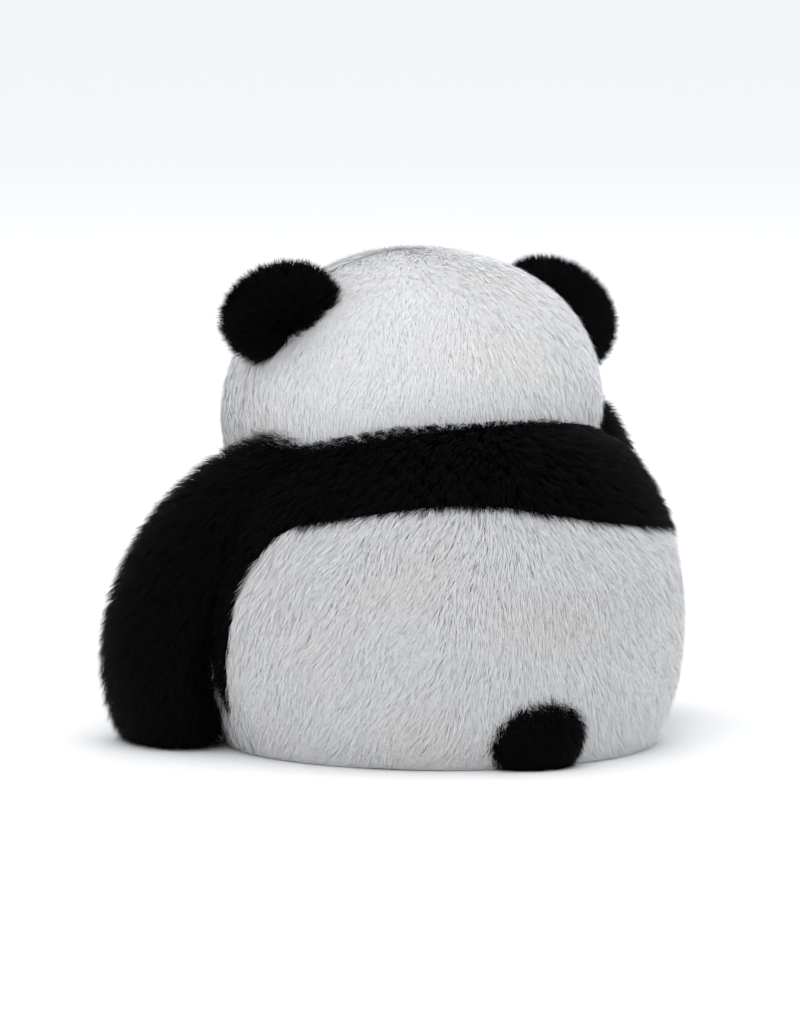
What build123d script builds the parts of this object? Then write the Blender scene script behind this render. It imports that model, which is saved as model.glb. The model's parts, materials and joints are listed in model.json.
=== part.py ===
from build123d import *
from math import atan2, cos, radians, sin, sqrt
import os

# A seated plush panda, in millimetres. It faces -Y, its left side is +X, and the origin
# is on the floor under the middle of the body. Every surface here is the backing of the
# fabric together with the dense lower half of its pile, so each fur panel is a thick skin.

# --- driving dimensions -------------------------------------------------------------
pile_skin = 8.0  # fur panel: knitted backing and the dense lower pile
seam_gap = 0.2  # between two panels of one body along a curved seam
fill_gap = 0.3  # between a filling and the skin around it
body_gap = 0.6  # between soft pieces that move against each other
arm_gap = 4.5  # between the arm and the belly's side, which it swings past

base_radius = 128.0  # torso where it meets the floor
belly_radius = 156.0
belly_height = 64.0
shoulder_radius = 133.0
shoulder_height = 172.0
torso_top = 236.0
base_skin = 6.0

yoke_crest = 171.0  # lower edge of the black yoke on the centre line
yoke_drop = 36.0  # how far that edge falls towards each arm
yoke_reach = belly_radius - 6.0  # sideways distance over which it falls

pouch_radius = 84.0
pouch_half_height = 20.0
pouch_rim_radius = 12.0
pouch_height = 30.0
pouch_cloth = 1.5

head_radius = 124.0  # across the neck axis
head_half_height = 99.0  # along the neck axis
head_rim_radius = 85.0  # roundness of the cheeks, seen from the side
head_back = -45.0  # y of the head's centre
head_height = 222.0
neck_tilt = 21.8  # degrees the neck axis leans forwards
neck_drop = 72.0  # head centre to the neck seam, along the axis

ear_half_width = 32.0
ear_length = 30.0
ear_thickness = 14.0
ear_cloth = 4.0
ear_toward = (0.832, 0.1815, 0.524)  # from the head's centre to the left ear
ear_stand = 1.5  # hinge line outside the head's surface

muzzle_radius = 36.0
muzzle_half_depth = 34.0
muzzle_rim_radius = 30.0
muzzle_y = -150.0
muzzle_height = 196.0
muzzle_cloth = 5.0
patch_half_width = 19.0
patch_half_height = 26.0
patch_lean = 28.0  # degrees
patch_drop = 2.0  # the patch's middle below the eye
eye_x = 43.0
eye_height = 232.0
eye_radius = 8.0
eye_bulge = 6.0
stem_radius = 2.2
stem_length = 14.0
stem_fit = 0.05
washer_radius = 9.0
washer_thickness = 2.0
nose_radius = 11.0
nose_half_depth = 8.0
nose_rim_radius = 6.5
nose_height = 208.0
thread_height = 0.9
thread_width = 1.8
mouth_drop = 9.0  # upright stitch under the nose
mouth_half_width = 15.0
mouth_sag = 5.0  # lowest stitches below the fork
mouth_end = 1.0  # corners below the fork

arm_hinge_y = -20.0
arm_hinge_z = 148.0
arm_seat_x = belly_radius - 28.0  # flat face of the shoulder seam
arm_radius = 36.0
arm_root_x = belly_radius - 6.0  # where the arm's middle line starts
paw_front = (belly_radius + 4.0, -96.0, 42.0)
paw_back = (belly_radius - 6.0, -46.0, 34.0)
paw_radius = 40.0
limb_skin = 7.0

leg_x = 76.0
leg_radius = 35.0
leg_height = 34.0
leg_back_y = 60.0 - belly_radius
foot_radius = 44.0
foot_half_depth = 32.0
foot_rim_radius = 24.0
foot_y = -30.0 - belly_radius
sole_y = foot_y - 20.0
sole_thickness = 3.5
sole_margin = 3.0

tail_radius = 23.0
tail_y = belly_radius - 18.0
tail_height = 20.0
tail_skin = 6.0
tail_hinge_y = tail_y - 4.0
tail_hinge_z = 38.0
tail_turn = 20.0  # degrees it lifts

far = 1000.0  # larger than the toy, for cutting tools


# --- shared helpers -----------------------------------------------------------------
def arc_centres(radius, half_height, rim_radius):
    """Radius at which the rim's arc is centred, and how far beyond the middle the cap's is."""
    rim_centre = radius - rim_radius
    rise = half_height - rim_radius
    cap_centre = (rim_centre**2 - rise**2) / (2 * rise)
    return rim_centre, cap_centre


def bun(radius, half_height, rim_radius, grow=0.0):
    """Flattened ball about Z: a round cap, a rounder rim and a cap again, all tangent."""
    rim_centre, cap_centre = arc_centres(radius, half_height, rim_radius)
    rim = rim_radius + grow
    slant = sqrt(rim_centre**2 + cap_centre**2)
    meet_x = rim_centre + rim * rim_centre / slant
    meet_z = rim * cap_centre / slant
    top = (0, half_height + grow)
    side = (radius + grow, 0)
    cap_radius = half_height + cap_centre + grow
    lean = atan2(rim_centre, cap_centre) / 2
    mid_cap = (cap_radius * sin(lean), cap_radius * cos(lean) - cap_centre)
    upper = ThreePointArc(top, mid_cap, (meet_x, meet_z))
    rim_arc = ThreePointArc((meet_x, meet_z), side, (meet_x, -meet_z))
    lower = ThreePointArc((meet_x, -meet_z), (mid_cap[0], -mid_cap[1]), (0, -top[1]))
    profile = make_face([upper, rim_arc, lower, Line((0, -top[1]), top)])
    return revolve(Plane.XZ * profile, axis=Axis.Z)


def above(height):
    """Half-space z >= height, as a large box."""
    return Pos(0, 0, height + far / 2) * Box(far, far, far)


def behind(y):
    """Half-space y >= the value, as a large box."""
    return Pos(0, y + far / 2, 0) * Box(far, far, far)


def mirrored(solid):
    """The same piece on the other side of the toy."""
    return mirror(solid, about=Plane.YZ)


def save(solid, name):
    export_step(solid, f"parts/{name}.step")
    print(name, round(solid.volume), "mm3")


# --- head geometry ------------------------------------------------------------------
neck_axis = Vector(0, -sin(radians(neck_tilt)), cos(radians(neck_tilt)))
head_centre = Vector(0, head_back, head_height)
neck_point = head_centre - neck_axis * neck_drop
head_plane = Plane(origin=head_centre, x_dir=(1, 0, 0), z_dir=neck_axis)


def head_ball(grow=0.0):
    """Round head, the same all round the neck axis, so that it turns in place."""
    return head_plane * bun(head_radius, head_half_height, head_rim_radius, grow)


def over_neck():
    """Everything on the head's side of the neck seam."""
    return Plane(origin=neck_point, x_dir=(1, 0, 0), z_dir=neck_axis) * (
        Pos(0, 0, far / 2) * Box(far, far, far)
    )


def head_depth(point):
    """Height of a point over the head's surface, and the outward direction there."""
    rim_centre, cap_centre = arc_centres(head_radius, head_half_height, head_rim_radius)
    offset = point - head_centre
    height = offset.dot(neck_axis)
    across = offset - neck_axis * height
    if abs(height) * rim_centre > cap_centre * (across.length - rim_centre) and (
        across.length * cap_centre < rim_centre * (abs(height) + cap_centre)
    ):
        side = 1 if height > 0 else -1
        away = across + neck_axis * (height + side * cap_centre)
        return away.length - head_half_height - cap_centre, away.normalized()
    away = offset - across.normalized() * rim_centre
    return away.length - head_rim_radius, away.normalized()


def out_of_head(start, direction):
    """Where a line from inside the head leaves it, and the outward direction there."""
    near = 0.0
    reach = 2 * head_radius
    while reach - near > 1e-6:
        middle = (near + reach) / 2
        if head_depth(start + direction * middle)[0] < 0:
            near = middle
        else:
            reach = middle
    point = start + direction * near
    return point, head_depth(point)[1]


def on_head(x, z):
    """Point on the front of the head at the given x and z, with its outward normal."""
    return out_of_head(Vector(x, head_centre.Y, z), Vector(0, -1, 0))


def ear_plane():
    """Frame of the left ear: X along its base seam, Z up the ear."""
    toward = Vector(*ear_toward).normalized()
    root = out_of_head(head_centre, toward)[0]
    seam = toward.cross(Vector(0, 1, 0)).normalized()
    return Plane(origin=root + toward * ear_stand, x_dir=seam, z_dir=toward)


def ear_groove():
    """Dart in the head that takes the rounded base of the left ear."""
    groove = Rot(0, 90, 0) * Cylinder(
        ear_thickness / 2 + body_gap, 2 * (ear_half_width + body_gap)
    )
    return ear_plane() * groove


# --- ears ---------------------------------------------------------------------------
def ear_plate(inset, rounding=0.0):
    """Half-round ear with a rounded base along the hinge line."""
    width = ear_half_width - inset
    thick = ear_thickness - 2 * inset
    outline = Ellipse(width, ear_length - inset) & Pos(0, far / 2) * Rectangle(far, far)
    plate = extrude(Plane.XZ * outline, amount=thick / 2, both=True)
    if rounding:
        rim = plate.edges().filter_by(lambda e: e.center().Z > ear_length / 4)
        plate = fillet(rim, rounding)
    base = Rot(0, 90, 0) * Cylinder(thick / 2, 2 * width)
    return plate + base


def ear_pieces():
    whole = ear_plate(0, ear_cloth)
    core = ear_plate(ear_cloth)
    cloth = whole - core
    back_half = Pos(0, far / 2, 0) * Box(far, far, far)
    front_half = Pos(0, -far / 2, 0) * Box(far, far, far)
    place = ear_plane()
    return {
        "ear_back_panel": place * (cloth & back_half),
        "ear_front_panel": place * (cloth & front_half),
        "ear_filling": place * ear_plate(ear_cloth + fill_gap),
    }


# --- face fittings ------------------------------------------------------------------
def facing(x, z):
    """Plane on the face with Z pointing straight out of it."""
    point, normal = on_head(x, z)
    return Plane(origin=point, x_dir=(1, 0, 0), z_dir=normal)


def muzzle_ball(grow=0.0):
    ball = bun(muzzle_radius, muzzle_half_depth, muzzle_rim_radius, grow)
    return Pos(0, muzzle_y, muzzle_height) * Rot(90, 0, 0) * ball


def stem_hole(place, radius):
    return place * (Pos(0, 0, -stem_length) * Cylinder(radius, 4 * stem_length))


def patch_cutter(grow=0.0):
    """Upright oval prism around the left eye, leaning outwards at the bottom."""
    oval = Ellipse(patch_half_width + grow, patch_half_height + grow)
    prism = extrude(Plane.XZ * (Rot(0, 0, patch_lean) * oval), amount=far)
    return Pos(eye_x, head_back, eye_height - patch_drop) * prism


def eye():
    dome_radius = (eye_radius**2 + eye_bulge**2) / (2 * eye_bulge)
    dome = Pos(0, 0, eye_bulge - dome_radius) * Sphere(dome_radius)
    dome &= Pos(0, 0, far / 2) * Box(far, far, far)
    stem = Pos(0, 0, -stem_length / 2) * Cylinder(stem_radius, stem_length)
    return facing(eye_x, eye_height) * (dome + stem)


def washer(place, depth):
    ring = Cylinder(washer_radius, washer_thickness)
    ring -= Cylinder(stem_radius + stem_fit, washer_thickness)
    return place * (Pos(0, 0, -depth - washer_thickness / 2) * ring)


def under_eye():
    """Depth at which a flat washer clears the hollow face of the eye patch."""
    hollow = head_rim_radius - pile_skin
    return pile_skin + hollow - sqrt(hollow**2 - washer_radius**2) + seam_gap


def under_nose():
    """Depth below the nose's plane at which a flat washer clears the muzzle's hollow."""
    cap_centre = arc_centres(muzzle_radius, muzzle_half_depth, muzzle_rim_radius)[1]
    hollow = muzzle_half_depth + cap_centre - muzzle_cloth
    edge = nose_height - muzzle_height + washer_radius
    face_y = muzzle_y + cap_centre - sqrt(hollow**2 - edge**2)
    return face_y - nose_plane().origin.Y + seam_gap


def washer_pocket(place, depth):
    """Room that the filling leaves around a washer and the end of its stem."""
    room = stem_length - depth + 2 * washer_thickness
    pocket = Cylinder(washer_radius + fill_gap, room)
    return place * (Pos(0, 0, -depth - room / 2 + washer_thickness) * pocket)


def nose_plane():
    cap_centre = arc_centres(muzzle_radius, muzzle_half_depth, muzzle_rim_radius)[1]
    cap_radius = muzzle_half_depth + cap_centre
    y = muzzle_y + cap_centre - sqrt(cap_radius**2 - (nose_height - muzzle_height) ** 2)
    return Plane(origin=(0, y, nose_height), x_dir=(1, 0, 0), z_dir=(0, -1, 0))


def nose():
    button = nose_plane() * bun(nose_radius, nose_half_depth, nose_rim_radius)
    stem = Pos(0, 0, -stem_length / 2) * Cylinder(stem_radius, stem_length)
    return button - muzzle_ball() + nose_plane() * stem


def mouth():
    """Raised stitches under the nose: a short upright and two curves."""
    top = nose_height - nose_radius
    fork = top - mouth_drop
    stroke = trace(Line((0, top), (0, fork)), thread_width)
    for end in (mouth_half_width, -mouth_half_width):
        lip = ThreePointArc((0, fork), (end / 2, fork - mouth_sag), (end, fork - mouth_end))
        stroke += trace(lip, thread_width)
    prism = extrude(Plane.XZ * stroke, amount=far)
    raised = (muzzle_ball(thread_height) - muzzle_ball()) & prism
    return raised - behind(muzzle_y)


def head_pieces():
    ears = ear_groove() + mirrored(ear_groove())
    outer = (head_ball() & over_neck()) - ears
    inner = head_ball(-pile_skin)
    shell = outer - inner
    eye_place = facing(eye_x, eye_height)
    nose_place = nose_plane()
    back_side = behind(head_back)
    pieces = {"head_back_panel": shell & back_side}

    patch = ((shell - back_side) & patch_cutter()) - stem_hole(
        eye_place, stem_radius + stem_fit
    )
    window = patch_cutter(seam_gap)
    pieces["face_panel"] = shell - back_side - window - mirrored(window)

    filling = head_ball(-pile_skin - fill_gap) & over_neck()
    pocket = washer_pocket(eye_place, pile_skin)
    pieces["head_filling"] = filling - pocket - mirrored(pocket)

    dome = muzzle_ball()
    hollow = muzzle_ball(-muzzle_cloth)
    hole = stem_hole(nose_place, stem_radius + stem_fit)
    under_chin = torso_solid(-body_gap)
    pieces["muzzle_panel"] = dome - hollow - head_ball() - hole - under_chin
    wad = muzzle_ball(-muzzle_cloth - fill_gap)
    pieces["muzzle_filling"] = (
        wad - head_ball(fill_gap) - washer_pocket(nose_place, muzzle_cloth) - under_chin
    )
    pieces["nose"] = nose()
    pieces["nose_washer"] = washer(nose_place, under_nose())
    pieces["mouth_stitching"] = mouth()
    for name, piece in (
        ("eye_patch", patch),
        ("eye", eye()),
        ("eye_washer", washer(eye_place, under_eye())),
    ):
        pieces[f"{name}_left"] = piece
        pieces[f"{name}_right"] = mirrored(piece)
    for name, piece in ear_pieces().items():
        pieces[f"{name}_left"] = piece
        pieces[f"{name}_right"] = mirrored(piece)
    return pieces


# --- torso --------------------------------------------------------------------------
def torso_solid(inset=0.0, floor=0.0):
    """Egg-shaped torso with a flat bottom: two arcs turned about Z."""
    foot = (base_radius - inset, floor)
    belly = (belly_radius - inset, belly_height)
    shoulder = (shoulder_radius - inset, shoulder_height)
    crown = (0, torso_top - inset)
    side = ThreePointArc(foot, belly, shoulder)
    top = TangentArc(shoulder, crown, tangent=side % 1)
    profile = make_face([side, top, Line(crown, (0, floor)), Line((0, floor), foot)])
    return revolve(Plane.XZ * profile, axis=Axis.Z)


def yoke_side(shift=0.0):
    """Everything over the curved lower edge of the yoke."""
    crest = yoke_crest + shift
    end = crest - yoke_drop
    edge = ThreePointArc((-yoke_reach, end), (0, crest), (yoke_reach, end))
    roof = Polyline(
        (yoke_reach, end), (far / 2, end), (far / 2, far), (-far / 2, far),
        (-far / 2, end), (-yoke_reach, end),
    )
    return extrude(Plane.XZ * make_face([edge, roof]), amount=far / 2, both=True)


def arm_seat(grow):
    """Round recess with a flat bottom that takes the left arm's shoulder."""
    length = far / 2
    drum = Rot(0, 90, 0) * Cylinder(arm_radius + grow, length)
    return Pos(arm_seat_x + length / 2, arm_hinge_y, arm_hinge_z) * drum


def pouch_solid(grow):
    """Flat round bag of pellets low in the torso."""
    bag = bun(pouch_radius, pouch_half_height, pouch_rim_radius, grow)
    return Pos(0, 0, pouch_height) * bag


def torso_pieces():
    socket = head_ball(body_gap) & over_neck()
    seats = arm_seat(body_gap) + mirrored(arm_seat(body_gap))
    outer = torso_solid() - socket - seats
    inner = torso_solid(pile_skin, base_skin)
    shell = (outer - inner) & above(base_skin)
    upper = shell & yoke_side()
    lower = shell - yoke_side(-seam_gap)
    pouch = pouch_solid(0)
    filling = torso_solid(pile_skin + fill_gap, base_skin)
    filling -= head_ball(body_gap) & over_neck()
    filling -= arm_seat(body_gap) + mirrored(arm_seat(body_gap))
    filling -= pouch_solid(fill_gap)
    return {
        "shoulder_yoke": upper,
        "back_panel": lower & behind(0),
        "belly_panel": lower - behind(0),
        "base_panel": outer - above(base_skin),
        "torso_filling": filling,
        "pellet_pouch": pouch - pouch_solid(-pouch_cloth),
        "pellets": pouch_solid(-pouch_cloth - fill_gap),
    }


# --- limbs --------------------------------------------------------------------------
def capsule(start, end, radius):
    """Round-ended rod between two points."""
    line = Vector(*end) - Vector(*start)
    rod = Plane(origin=start, z_dir=line) * (
        Pos(0, 0, line.length / 2) * Cylinder(radius, line.length)
    )
    return rod + Pos(*start) * Sphere(radius) + Pos(*end) * Sphere(radius)


def arm_solid(inset):
    """Left arm: two round rods side by side from the shoulder to a broad paw."""
    root = (arm_root_x, arm_hinge_y, arm_hinge_z)
    front = capsule(root, paw_front, arm_radius - inset)
    back = capsule(root, paw_back, arm_radius - inset)
    paw = Pos(*paw_front) * Sphere(paw_radius - inset)
    length = arm_root_x - arm_seat_x
    drum = Rot(0, 90, 0) * Cylinder(arm_radius - inset, length)
    shoulder = Pos(arm_seat_x + length / 2, arm_hinge_y, arm_hinge_z) * drum
    room = Pos(arm_seat_x + inset + far / 2, 0, inset + far / 2) * Box(far, far, far)
    return (front + back + paw + shoulder) & room


def arm_pieces():
    beside = torso_solid(-arm_gap) - arm_seat(0)
    outer = arm_solid(0) - beside
    inner = arm_solid(limb_skin) - torso_solid(-arm_gap - limb_skin)
    fill = limb_skin + fill_gap
    filling = arm_solid(fill) - torso_solid(-arm_gap - fill)
    return {"arm_skin": outer - inner, "arm_filling": filling}


def leg_solid(inset):
    """Left leg lying on the floor with its foot upright in front."""
    length = leg_back_y - foot_y
    shank = Rot(90, 0, 0) * Cylinder(leg_radius - inset, length)
    shank = Pos(leg_x, (leg_back_y + foot_y) / 2, leg_height) * shank
    foot = Rot(90, 0, 0) * bun(foot_radius, foot_half_depth, foot_rim_radius, -inset)
    foot = Pos(leg_x, foot_y, foot_radius) * foot
    room = Pos(0, sole_y + inset + far / 2, inset + far / 2) * Box(far, far, far)
    return (shank + foot) & room


def leg_pieces():
    outer = leg_solid(0) - torso_solid(-body_gap)
    inner = leg_solid(limb_skin) - torso_solid(-body_gap - limb_skin)
    fill = limb_skin + fill_gap
    filling = leg_solid(fill) - torso_solid(-body_gap - fill)
    rim_centre = arc_centres(foot_radius, foot_half_depth, foot_rim_radius)[0]
    flat_radius = rim_centre + sqrt(foot_rim_radius**2 - (foot_y - sole_y) ** 2)
    pad = Rot(90, 0, 0) * Cylinder(flat_radius - sole_margin, sole_thickness)
    return {
        "leg_skin": outer - inner,
        "leg_filling": filling,
        "sole_pad": Pos(leg_x, sole_y - sole_thickness / 2, foot_radius) * pad,
    }


def past_torso(solid, gap):
    """Tail cut clear of the torso both where it rests and where it is lifted."""
    torso = torso_solid(-gap)
    hinge = Axis((0, tail_hinge_y, tail_hinge_z), (1, 0, 0))
    return solid - torso - torso.rotate(hinge, -tail_turn)


def tail_pieces():
    place = Pos(0, tail_y, tail_height)
    outer = place * Sphere(tail_radius) & above(0)
    inner = place * Sphere(tail_radius - tail_skin) & above(tail_skin)
    fill = tail_skin + fill_gap
    filling = place * Sphere(tail_radius - fill) & above(fill)
    return {
        "tail_skin": past_torso(outer - inner, body_gap),
        "tail_filling": past_torso(filling, body_gap + fill_gap),
    }


def main():
    os.makedirs("parts", exist_ok=True)
    pieces = {**head_pieces(), **torso_pieces(), **tail_pieces()}
    for limb in (arm_pieces(), leg_pieces()):
        for name, piece in limb.items():
            pieces[f"{name}_left"] = piece
            pieces[f"{name}_right"] = mirrored(piece)
    for name, piece in pieces.items():
        save(piece, name)


main()
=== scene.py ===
# %% [markdown]
# # A seated plush panda in long faux fur
# Faux fur is a knitted backing with tens of thousands of fine fibres standing in it. The
# toy's shape comes from sewn and stuffed panels, and its look comes almost wholly from the
# fibres: which way they lie, how long they are and how they gather into tufts. So this
# lesson makes every fur panel twice: once as a padded backing, and once as a coat of
# fibres that grows on it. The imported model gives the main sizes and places, and the rest
# are values chosen here.

import json
import math

import bmesh
import bpy
import numpy as np
from mathutils import Vector
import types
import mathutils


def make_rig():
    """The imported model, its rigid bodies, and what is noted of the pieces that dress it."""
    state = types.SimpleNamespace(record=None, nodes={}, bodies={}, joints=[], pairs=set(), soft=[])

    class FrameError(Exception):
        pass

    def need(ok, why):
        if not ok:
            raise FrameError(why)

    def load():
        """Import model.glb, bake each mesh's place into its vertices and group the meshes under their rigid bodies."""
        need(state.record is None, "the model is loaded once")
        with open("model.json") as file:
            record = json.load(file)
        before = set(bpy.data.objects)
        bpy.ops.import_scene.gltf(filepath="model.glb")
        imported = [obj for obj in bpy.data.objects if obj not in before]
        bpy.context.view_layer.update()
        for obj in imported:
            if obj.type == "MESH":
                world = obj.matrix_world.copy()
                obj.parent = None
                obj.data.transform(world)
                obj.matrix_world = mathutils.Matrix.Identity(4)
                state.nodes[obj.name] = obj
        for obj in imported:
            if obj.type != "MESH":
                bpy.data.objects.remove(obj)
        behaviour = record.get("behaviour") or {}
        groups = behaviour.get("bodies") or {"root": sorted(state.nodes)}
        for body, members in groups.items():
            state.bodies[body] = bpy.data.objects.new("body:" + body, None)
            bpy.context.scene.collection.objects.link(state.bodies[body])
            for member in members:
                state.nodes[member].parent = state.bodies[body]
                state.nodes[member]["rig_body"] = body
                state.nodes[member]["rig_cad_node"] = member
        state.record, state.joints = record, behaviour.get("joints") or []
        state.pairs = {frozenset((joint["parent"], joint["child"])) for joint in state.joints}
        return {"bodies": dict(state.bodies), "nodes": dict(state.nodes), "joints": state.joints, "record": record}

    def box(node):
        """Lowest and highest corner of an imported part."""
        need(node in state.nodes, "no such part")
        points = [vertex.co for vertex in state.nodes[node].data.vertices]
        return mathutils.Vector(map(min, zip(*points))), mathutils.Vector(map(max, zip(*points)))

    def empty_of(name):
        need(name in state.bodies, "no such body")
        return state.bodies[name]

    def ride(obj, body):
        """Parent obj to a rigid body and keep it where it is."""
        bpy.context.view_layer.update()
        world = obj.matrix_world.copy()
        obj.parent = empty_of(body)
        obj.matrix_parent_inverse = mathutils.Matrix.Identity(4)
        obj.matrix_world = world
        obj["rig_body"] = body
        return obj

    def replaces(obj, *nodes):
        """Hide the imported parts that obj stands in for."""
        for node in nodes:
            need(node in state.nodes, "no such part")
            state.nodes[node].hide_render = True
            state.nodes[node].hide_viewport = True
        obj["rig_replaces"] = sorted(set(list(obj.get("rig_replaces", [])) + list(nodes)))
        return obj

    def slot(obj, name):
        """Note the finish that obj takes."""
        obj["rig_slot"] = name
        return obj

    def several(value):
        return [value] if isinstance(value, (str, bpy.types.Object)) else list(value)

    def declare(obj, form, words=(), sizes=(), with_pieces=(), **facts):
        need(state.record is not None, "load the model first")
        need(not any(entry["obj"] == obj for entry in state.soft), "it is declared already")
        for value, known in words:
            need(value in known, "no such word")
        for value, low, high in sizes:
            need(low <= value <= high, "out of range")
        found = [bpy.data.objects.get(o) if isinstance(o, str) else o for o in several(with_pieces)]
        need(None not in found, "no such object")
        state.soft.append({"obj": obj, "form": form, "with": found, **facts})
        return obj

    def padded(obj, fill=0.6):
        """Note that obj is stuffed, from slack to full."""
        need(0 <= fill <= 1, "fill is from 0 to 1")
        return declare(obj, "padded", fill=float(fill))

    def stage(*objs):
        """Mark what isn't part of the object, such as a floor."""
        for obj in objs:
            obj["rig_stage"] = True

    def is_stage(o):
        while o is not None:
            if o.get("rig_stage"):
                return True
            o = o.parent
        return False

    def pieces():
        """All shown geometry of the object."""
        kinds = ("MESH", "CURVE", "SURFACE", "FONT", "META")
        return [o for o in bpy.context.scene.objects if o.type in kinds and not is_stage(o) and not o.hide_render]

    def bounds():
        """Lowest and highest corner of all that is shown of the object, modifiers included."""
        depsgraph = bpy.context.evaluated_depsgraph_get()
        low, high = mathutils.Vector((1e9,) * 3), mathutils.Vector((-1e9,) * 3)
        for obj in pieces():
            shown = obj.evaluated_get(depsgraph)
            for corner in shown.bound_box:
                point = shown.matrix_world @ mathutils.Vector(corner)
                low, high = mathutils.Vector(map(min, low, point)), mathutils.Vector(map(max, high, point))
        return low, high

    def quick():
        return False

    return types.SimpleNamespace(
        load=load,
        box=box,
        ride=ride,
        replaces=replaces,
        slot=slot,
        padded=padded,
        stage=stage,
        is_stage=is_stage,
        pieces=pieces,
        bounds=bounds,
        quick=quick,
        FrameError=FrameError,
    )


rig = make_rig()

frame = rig.load()
cad_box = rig.bounds()
MM = 0.001
print("CAD box", [[round(v, 3) for v in corner] for corner in cad_box])

# %% [markdown]
# ## Sizes read from the model
# The head and the torso are round bodies, so a centre and a few radii describe them. The
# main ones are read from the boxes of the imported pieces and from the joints. The torso's
# profile and the shapes of the limbs, ears and tail are values chosen further down.

# %% Centres and radii of the round bodies
joints = {joint["name"]: joint for joint in frame["record"]["behaviour"]["joints"]}


def box_of(*nodes):
    """Lowest and highest corner of several pieces together, as arrays."""
    corners = np.array([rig.box(node) for node in nodes], dtype=float)
    return corners[:, 0].min(axis=0), corners[:, 1].max(axis=0)


NECK_AXIS = np.array(joints["head_turn"]["axis"], dtype=float)
HEAD_CENTRE = np.array(joints["head_turn"]["pos_m"], dtype=float)
head_low, head_high = box_of("head_back_panel", "face_panel")
HEAD_RADIUS = (head_high[0] - head_low[0]) / 2
HEAD_HALF_HEIGHT = HEAD_RADIUS * 0.8
CROWN_PEAK = 5.5 * MM
NECK_DROP = 72 * MM

torso_low, torso_high = box_of("back_panel", "belly_panel", "base_panel")
BELLY_RADIUS = (torso_high[1] - torso_low[1]) / 2
TORSO_TOP = 235 * MM
print("head radius", round(HEAD_RADIUS, 4), "belly radius", round(BELLY_RADIUS, 4))

# %% [markdown]
# ## Camera, floor and light
# The view is from behind and to the toy's left, a little above the floor. Soft light from
# a large panel overhead and a pale room keeps white fur readable, because every fibre is
# lit by its neighbours as well.

# %% Camera at the viewing angle
AZIMUTH = math.radians(155)
ELEVATION = math.radians(7)
FRAME_WIDTH = 0.5376
FRAME_HEIGHT = 1.29 * FRAME_WIDTH
AIM_ACROSS = -26.9 * MM
AIM_UP = 151.2 * MM
DISTANCE = 9.0
SENSOR = 36.0
right = Vector((math.cos(AZIMUTH), math.sin(AZIMUTH), 0))
toward = Vector(
    (
        math.sin(AZIMUTH) * math.cos(ELEVATION),
        -math.cos(AZIMUTH) * math.cos(ELEVATION),
        math.sin(ELEVATION),
    )
)
up = toward.cross(right)
aim = right * AIM_ACROSS + up * AIM_UP
camera_data = bpy.data.cameras.new("camera")
camera_data.sensor_fit = "VERTICAL"
camera_data.sensor_height = SENSOR
camera_data.lens = SENSOR * DISTANCE / FRAME_HEIGHT
camera = bpy.data.objects.new("camera", camera_data)
camera.location = aim + toward * DISTANCE
camera.rotation_euler = toward.to_track_quat("Z", "Y").to_euler()
bpy.context.scene.collection.objects.link(camera)
bpy.context.scene.camera = camera
print("camera at", [round(v, 3) for v in camera.location])


# %% Floor and soft studio light
def area_light(name, place, size, power):
    """A square light panel that faces the middle of the toy."""
    data = bpy.data.lights.new(name, "AREA")
    data.size = size
    data.energy = power
    lamp = bpy.data.objects.new(name, data)
    lamp.location = place
    towards_toy = Vector((0, 0, 150 * MM)) - Vector(place)
    lamp.rotation_euler = towards_toy.to_track_quat("-Z", "Y").to_euler()
    bpy.context.scene.collection.objects.link(lamp)


area_light("overhead_panel", (0.2, 0.3, 2.4), 2.6, 24)
area_light("back_panel_light", (1.6, 2.2, 2.2), 1.6, 8)
area_light("front_panel_light", (-1.2, -2.4, 2.0), 1.6, 10)
world = bpy.data.worlds.new("pale_room")
world.use_nodes = True
world.node_tree.nodes["Background"].inputs["Color"].default_value = (0.95, 0.97, 1, 1)
world.node_tree.nodes["Background"].inputs["Strength"].default_value = 1.0
bpy.context.scene.world = world
bpy.context.scene.view_settings.view_transform = "Standard"

floor_material = bpy.data.materials.new("pale_floor")
floor_material.use_nodes = True
floor_shader = floor_material.node_tree.nodes["Principled BSDF"]
floor_shader.inputs["Base Color"].default_value = (0.93, 0.93, 0.93, 1)
floor_shader.inputs["Roughness"].default_value = 0.9
bpy.ops.mesh.primitive_plane_add(size=60, location=(0, 0, 0))
floor = bpy.context.object
floor.name = "floor"
floor.data.materials.append(floor_material)
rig.stage(floor)
print("floor and lights are in place")

# %% [markdown]
# ## Shader groups shared by the finishes
# A fibre's map coordinates carry its looks: across the map runs its tone, and up the map
# runs the way from root to tip. One group turns them into colour, darker towards the root
# as painted shade deep in the pile, and each coat gives it its own colours. A second group
# mottles the backing under the fibres.


# %% Helpers for node trees
def new_group(name, inputs, outputs):
    """A shader node group with sockets given as (type, name, default)."""
    tree = bpy.data.node_groups.new(name, "ShaderNodeTree")
    for kind, label, value in inputs:
        socket = tree.interface.new_socket(
            name=label, in_out="INPUT", socket_type="NodeSocket" + kind
        )
        socket.default_value = value
    for kind, label in outputs:
        tree.interface.new_socket(
            name=label, in_out="OUTPUT", socket_type="NodeSocket" + kind
        )
    return tree, tree.nodes.new("NodeGroupInput"), tree.nodes.new("NodeGroupOutput")


def mix_colours(tree, share, low, high):
    """Mix node between two colours, each a socket, by a share that is a socket."""
    node = tree.nodes.new("ShaderNodeMix")
    node.data_type = "RGBA"
    tree.links.new(share, node.inputs["Factor"])
    tree.links.new(low, node.inputs["A"])
    tree.links.new(high, node.inputs["B"])
    return node.outputs["Result"]
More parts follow.
